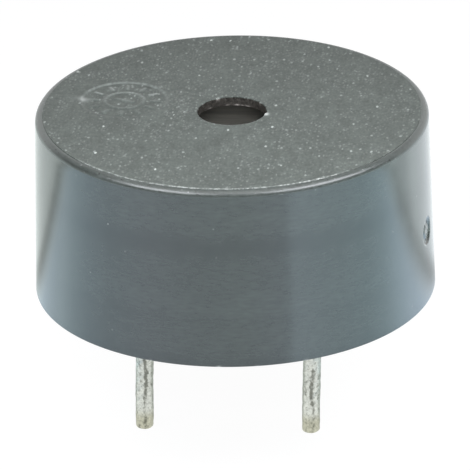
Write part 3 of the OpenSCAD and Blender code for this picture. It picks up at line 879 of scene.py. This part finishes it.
def studio_floor(studio):
    """White paper sweep: shows white wherever nothing shades it, and keeps a faint soft shadow.

    In reflections its brightness depends on where it lies: bright round both sides of the part and
    behind it, cooler and dimmer towards the camera, with a dim line where the sweep begins.
    """
    material, tree, place = new_material("white_paper")
    rays = add(tree, "ShaderNodeLightPath")
    fibre = add(tree, "ShaderNodeTexNoise", {"Vector": place, "Scale": 1 / (0.4 * MM), "Detail": 2.0})
    tone = add(tree, "ShaderNodeMapRange", {0: fibre, 1: 0.3, 2: 0.7, 3: 0.78, 4: 0.82})
    lit = add(tree, "ShaderNodeBsdfDiffuse", {"Color": tone})
    faint = add(tree, "ShaderNodeBsdfDiffuse", {"Color": (0.12, 0.12, 0.12, 1)})
    white = add(tree, "ShaderNodeEmission", {"Strength": 0.95})
    shown = add(tree, "ShaderNodeAddShader", {0: faint, 1: white})

    # Direction of a place from the sight point: 0 and 1 behind the part, 0.5 towards the camera
    flat = add(tree, "ShaderNodeSeparateXYZ", {0: place})
    forward = add(tree, "ShaderNodeMath", {0: studio.sight_y, 1: flat.outputs[1]}, operation="SUBTRACT")
    angle = add(tree, "ShaderNodeMath", {0: flat.outputs[0], 1: forward}, operation="ARCTAN2")
    share = add(tree, "ShaderNodeMath", {0: angle, 1: 0.5 / math.pi, 2: 0.5}, operation="MULTIPLY_ADD")
    # Degrees from the camera's side, brightness, and its tint as red and blue against green
    bright = add(tree, "ShaderNodeValToRGB", {0: share}, stops=[
        (0.5 + degrees / 360, green * red, green, green * blue)
        for degrees, green, red, blue in (
            (-180, 0.84, 0.88, 1.1), (-150, 0.85, 0.84, 1.12), (-120, 0.87, 0.82, 1.11),
            (-105, 0.82, 0.81, 1.1), (-95, 0.66, 0.79, 1.11), (-85, 0.53, 0.8, 1.14),
            (-70, 0.43, 0.83, 1.14), (-45, 0.37, 0.89, 1.15), (-15, 0.305, 0.89, 1.12),
            (10, 0.3, 0.88, 1.1), (30, 0.33, 0.88, 1.15), (36, 0.35, 0.86, 1.15),
            (41, 0.52, 0.83, 1.14), (65, 0.5, 0.79, 1.12), (85, 0.55, 0.75, 1.12),
            (97, 0.69, 0.75, 1.12), (107, 0.88, 0.77, 1.14), (117, 1.0, 0.8, 1.16),
            (150, 1.0, 0.85, 1.18), (180, 0.92, 0.88, 1.12))
    ])
    away = add(tree, "ShaderNodeVectorMath", {0: place, 1: (0, studio.pool_y, FLOOR_Z)}, operation="DISTANCE")
    # The line where the sweep begins lies nearer far round on the left
    nearer = add(tree, "ShaderNodeValToRGB", {0: share}, stops=(
        (0.0, 0.012), (0.085, 0.0095), (0.117, 0.0075), (0.141, 0.005), (0.18, 0.0)))
    reach = add(tree, "ShaderNodeMath", {
        0: away, 1: 0.5 / studio.pool_r, 2: nearer}, operation="MULTIPLY_ADD")
    line = add(tree, "ShaderNodeValToRGB", {0: reach}, stops=(
        (0.0, 1.0), (0.482, 1.0), (0.491, 0.74), (0.498, 0.48), (0.504, 0.58), (0.512, 0.9), (0.526, 1.0)))
    # It is fainter on the right and far round on the left
    faded = add(tree, "ShaderNodeValToRGB", {0: share}, stops=(
        (0.07, 0.55), (0.085, 0.5), (0.125, 0.0), (0.5, 0.0), (0.53, 0.35), (0.79, 0.35), (0.825, 0.5),
        (0.86, 0.2), (0.9, 0.0)))
    shown_line = add(tree, "ShaderNodeMix", {"Factor": faded, 6: line, 7: (1.0, 1.0, 1.0, 1.0)}, **COVER)
    lined = add(tree, "ShaderNodeMix", {"Factor": 1.0, 6: bright, 7: shown_line}, **TINT)
    # Beyond it the paper is less blue, with a narrow dark stand far off on the right
    stand = add(tree, "ShaderNodeValToRGB", {0: share}, stops=(
        (0.795, 1.0), (0.817, 0.8), (0.833, 0.8), (0.852, 1.0)))
    neutral = add(tree, "ShaderNodeMix", {"Factor": 1.0, 6: lined, 7: (1.1, 1.0, 0.88, 1.0)}, **TINT)
    behind = add(tree, "ShaderNodeMix", {"Factor": 1.0, 6: neutral, 7: stand}, **TINT)
    beyond = add(tree, "ShaderNodeMapRange", {0: reach, 1: 0.475, 2: 0.5})
    sweep = add(tree, "ShaderNodeMix", {"Factor": beyond, 6: lined, 7: behind}, **COVER)
    # Close round the pins the paper mirrors plain in front, and darker behind, where the case shades it
    near_by = add(tree, "ShaderNodeVectorMath", {0: place, 1: (0, 0, FLOOR_Z)}, operation="DISTANCE")
    close = add(tree, "ShaderNodeMapRange", {0: near_by, 1: 10 * MM, 2: 16 * MM})
    under = add(tree, "ShaderNodeMapRange", {
        0: flat.outputs[1], 1: -0.5 * MM, 2: 1.5 * MM}, interpolation_type="SMOOTHSTEP")
    shaded = add(tree, "ShaderNodeMix", {
        "Factor": under, 6: (0.72, 0.73, 0.71, 1.0), 7: (0.34, 0.36, 0.33, 1.0)}, **COVER)
    pool = add(tree, "ShaderNodeMix", {"Factor": close, 6: shaded, 7: sweep}, **COVER)
    mirrored = add(tree, "ShaderNodeEmission", {0: pool, 1: studio.mirrored})

    through = add(tree, "ShaderNodeMath", {
        0: rays.outputs["Is Camera Ray"], 1: rays.outputs["Is Transmission Ray"]}, operation="MAXIMUM")
    plain = add(tree, "ShaderNodeMixShader", {0: through, 1: lit, 2: shown})
    mix = add(tree, "ShaderNodeMixShader", {0: rays.outputs["Is Glossy Ray"], 1: plain, 2: mirrored})
    add(tree, "ShaderNodeOutputMaterial", {0: mix})
    return material


def studio_room(studio):
    """Studio round the part: white paper behind it, and a dim room on the camera's side.

    The camera, and what it sees through or mirrored from behind, gets plain white.
    """
    world = bpy.data.worlds.new("studio")
    world.use_nodes = True
    tree = world.node_tree
    tree.nodes.clear()
    rays = add(tree, "ShaderNodeLightPath")
    way = add(tree, "ShaderNodeSeparateXYZ", {0: add(tree, "ShaderNodeTexCoord").outputs["Generated"]})
    behind = add(tree, "ShaderNodeMapRange", {
        0: way.outputs[1], 1: -0.3, 2: 0.5, 3: 0.05, 4: 1.0}, interpolation_type="SMOOTHSTEP")
    # Mirrored, the paper behind the part is white up to 22 degrees and dim by 37, and a pale ceiling
    # begins at 49 degrees. The numbers are the sines
    back = add(tree, "ShaderNodeMapRange", {
        0: way.outputs[1], 1: 0.2, 2: 0.75}, interpolation_type="SMOOTHSTEP")
    low = add(tree, "ShaderNodeMapRange", {
        0: way.outputs[2], 1: 0.38, 2: 0.6, 3: 1.0, 4: 0.3}, interpolation_type="SMOOTHSTEP")
    paper = add(tree, "ShaderNodeMath", {0: back, 1: low}, operation="MULTIPLY")
    ceiling = add(tree, "ShaderNodeMapRange", {
        0: way.outputs[2], 1: 0.75, 2: 0.93, 3: 0.04, 4: 0.8}, interpolation_type="SMOOTHSTEP")
    mirrored = add(tree, "ShaderNodeMath", {0: paper, 1: ceiling}, operation="MAXIMUM")
    white = add(tree, "ShaderNodeMath", {
        0: rays.outputs["Is Glossy Ray"], 1: mirrored}, operation="MULTIPLY")
    through = add(tree, "ShaderNodeMath", {
        0: rays.outputs["Is Camera Ray"], 1: rays.outputs["Is Transmission Ray"]}, operation="MAXIMUM")
    seen = add(tree, "ShaderNodeMath", {0: through, 1: white}, operation="MAXIMUM")
    diffuse = add(tree, "ShaderNodeMath", {
        0: rays.outputs["Is Diffuse Ray"], 1: studio.surround}, operation="MULTIPLY")
    dim = add(tree, "ShaderNodeMath", {0: behind, 1: diffuse}, operation="MULTIPLY")
    strength = add(tree, "ShaderNodeMath", {0: seen, 1: dim}, operation="MAXIMUM")
    room = add(tree, "ShaderNodeBackground", {0: (1, 1, 1, 1), 1: strength})
    add(tree, "ShaderNodeOutputWorld", {0: room})
    return world


def softbox(name, place, width, height, radiance, mirrored):
    """Area lamp that faces the part. Its power is pi times its area times its radiance."""
    lamp = bpy.data.lights.new(name, "AREA")
    lamp.shape = "RECTANGLE"
    lamp.size, lamp.size_y = width, height
    lamp.energy = math.pi * width * height * radiance
    lamp.color = LAMP_TINT
    box = bpy.data.objects.new(name, lamp)
    back = np.array(place) / np.linalg.norm(place)
    across = np.cross((0, 0, 1), back)
    across /= np.linalg.norm(across)
    box.matrix_world = square_matrix(across, np.cross(back, across), back, place)
    box.visible_camera = False
    box.visible_glossy = mirrored
    bpy.context.scene.collection.objects.link(box)


def square_matrix(right, up, back, place):
    """Matrix whose columns are three directions and a place."""
    columns = np.array([[*right, 0], [*up, 0], [*back, 0], [*place, 1]], float).T
    return Matrix(columns.tolist())


class BUZZER_OT_studio(bpy.types.Operator):
    """Sets up the paper sweep, the softboxes, the surround and the camera"""

    bl_idname = "buzzer.studio"
    bl_label = "Studio"

    def execute(self, context):
        studio = context.scene.buzzer_studio
        scene = context.scene
        scene.view_settings.view_transform = "Standard"

        # The floor reaches 3 m each way
        reach = 3.0
        corners = [(-reach, -reach), (reach, -reach), (reach, reach), (-reach, reach)]
        mesh = bpy.data.meshes.new("floor")
        mesh.from_pydata([(x, y, FLOOR_Z) for x, y in corners], [], [(0, 1, 2, 3)])
        mesh.materials.append(studio_floor(studio))
        floor = bpy.data.objects.new("floor", mesh)
        scene.collection.objects.link(floor)

        # Place, width and height in mm, radiance, and whether the part mirrors the lamp
        for name, place, width, height, radiance, mirrored in (
                ("left_strip", (-28.5, -34.3, 48), 40, 26, studio.strips, True),
                ("right_strip", (38, -22, 48), 54, 26, studio.strips, True),
                ("front_box", (3, -17, 30), 30, 26, studio.front, False),
                ("camera_fill", (22, -180, 92), 50, 50, studio.fill, False)):
            softbox(name, np.array(place) * MM, width * MM, height * MM, radiance, mirrored)
        scene.world = studio_room(studio)

        around, rise, roll = studio.azimuth, studio.elevation, studio.roll
        right = np.array([math.cos(around), math.sin(around), 0])
        back = np.array([
            math.sin(around) * math.cos(rise), -math.cos(around) * math.cos(rise), math.sin(rise)])
        up = np.cross(back, right)
        tilted_right = math.cos(roll) * right - math.sin(roll) * up
        tilted_up = math.sin(roll) * right + math.cos(roll) * up
        place = (0, 0, studio.target_z) + studio.distance * back
        place = place + studio.side_shift * tilted_right + studio.up_shift * tilted_up
        lens = bpy.data.cameras.new("camera")
        lens.lens = studio.lens
        lens.sensor_width = 36
        lens.clip_start = 0.01
        camera = bpy.data.objects.new("camera", lens)
        camera.matrix_world = square_matrix(tilted_right, tilted_up, back, place)
        scene.collection.objects.link(camera)
        scene.camera = camera
        return {"FINISHED"}


OPERATORS = (BUZZER_OT_case, BUZZER_OT_pins, BUZZER_OT_seals, BUZZER_OT_finishes, BUZZER_OT_studio)


class BUZZER_PT_panel(bpy.types.Panel):
    """Lists the buzzer's pieces and its studio"""

    bl_label = "Piezo buzzer"
    bl_space_type = "VIEW_3D"
    bl_region_type = "UI"
    bl_category = "Buzzer"

    def draw(self, context):
        for operator in OPERATORS:
            self.layout.operator(operator.bl_idname)


SETTINGS = {
    "buzzer_case": CaseSettings,
    "buzzer_pins": PinSettings,
    "buzzer_seals": SealSettings,
    "buzzer_studio": StudioSettings,
}


def register():
    for name, group in SETTINGS.items():
        bpy.utils.register_class(group)
        setattr(bpy.types.Scene, name, bpy.props.PointerProperty(type=group))
    for item in (*OPERATORS, BUZZER_PT_panel):
        bpy.utils.register_class(item)


def unregister():
    for item in (BUZZER_PT_panel, *reversed(OPERATORS)):
        bpy.utils.unregister_class(item)
    for name, group in reversed(SETTINGS.items()):
        delattr(bpy.types.Scene, name)
        bpy.utils.unregister_class(group)


def main():
    register()
    bpy.ops.buzzer.case()
    bpy.ops.buzzer.pins()
    bpy.ops.buzzer.seals()
    bpy.ops.buzzer.finishes()
    bpy.ops.buzzer.studio()
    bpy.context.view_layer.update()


if __name__ == "__main__":
    main()
